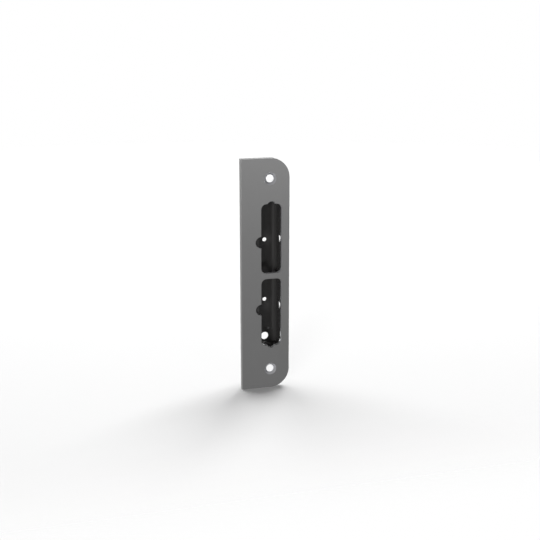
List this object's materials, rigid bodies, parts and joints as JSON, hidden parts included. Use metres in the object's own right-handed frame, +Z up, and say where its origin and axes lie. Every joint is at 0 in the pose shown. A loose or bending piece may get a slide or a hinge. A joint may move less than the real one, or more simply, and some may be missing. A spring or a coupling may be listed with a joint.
{
  "type": "strike plate",
  "caption": "Flat steel strike plate with tall bolt openings, countersunk fixing holes and a closed black moulded bolt box behind it.",
  "frame": {"origin": "middle of the two fixing holes, on the back face of the plate, which is the face that seats", "axes": "+X across the plate towards its rounded side, +Y from the front face into the door frame, +Z up along the plate"},
  "size_m": [0.0355, 0.0202, 0.17],
  "materials": {
    "face_steel": "satin",
    "box_plastic": "glossy"
  },
  "bodies": {
    "root": {"face_plate": "face_steel", "strike_box": "box_plastic"}
  },
  "joints": []
}
